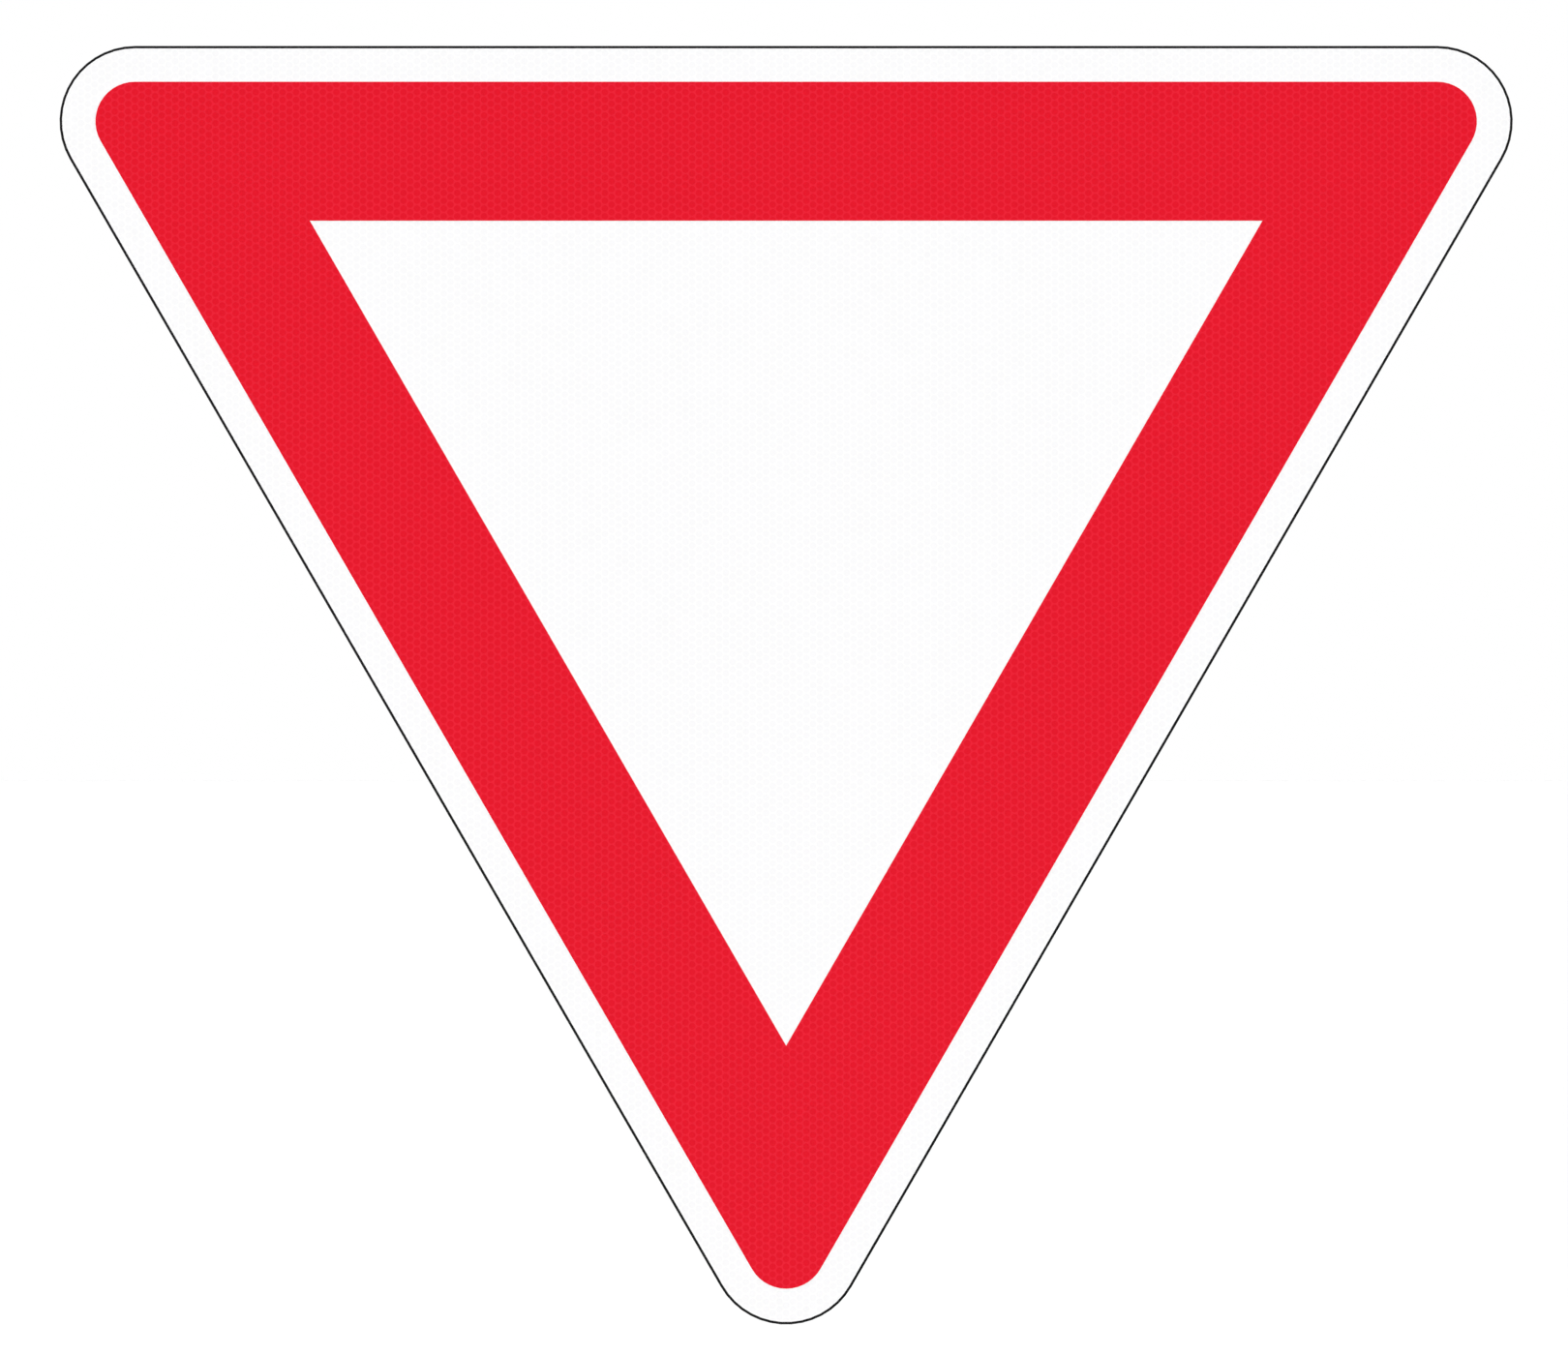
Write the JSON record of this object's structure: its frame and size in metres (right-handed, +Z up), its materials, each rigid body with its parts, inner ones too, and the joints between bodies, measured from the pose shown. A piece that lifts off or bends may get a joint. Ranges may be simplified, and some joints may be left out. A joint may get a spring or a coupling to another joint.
{
  "type": "give way sign",
  "caption": "Inverted triangular road sign: reflective white face, red border, coated aluminium plate, slotted rails riveted across the back for post clamps.",
  "frame": {"origin": "in the mouth of the upper rail's slot, midway along the rail, level with the rails' rear faces", "axes": "-Y is the way the sign's face looks, +X is to the right of someone reading it, +Z is up; the triangle points down"},
  "size_m": [0.75, 0.0155, 0.6599],
  "materials": {
    "coated_plate": "matte",
    "white_reflective": "satin",
    "red_film": "satin",
    "rail_aluminium": "satin",
    "rivet_aluminium": "satin"
  },
  "bodies": {
    "root": {"sign_plate": "coated_plate", "white_sheeting": "white_reflective", "red_border": "red_film", "upper_rail": "rail_aluminium", "upper_rail_rivets": "rivet_aluminium", "lower_rail": "rail_aluminium", "lower_rail_rivets": "rivet_aluminium"}
  },
  "joints": []
}
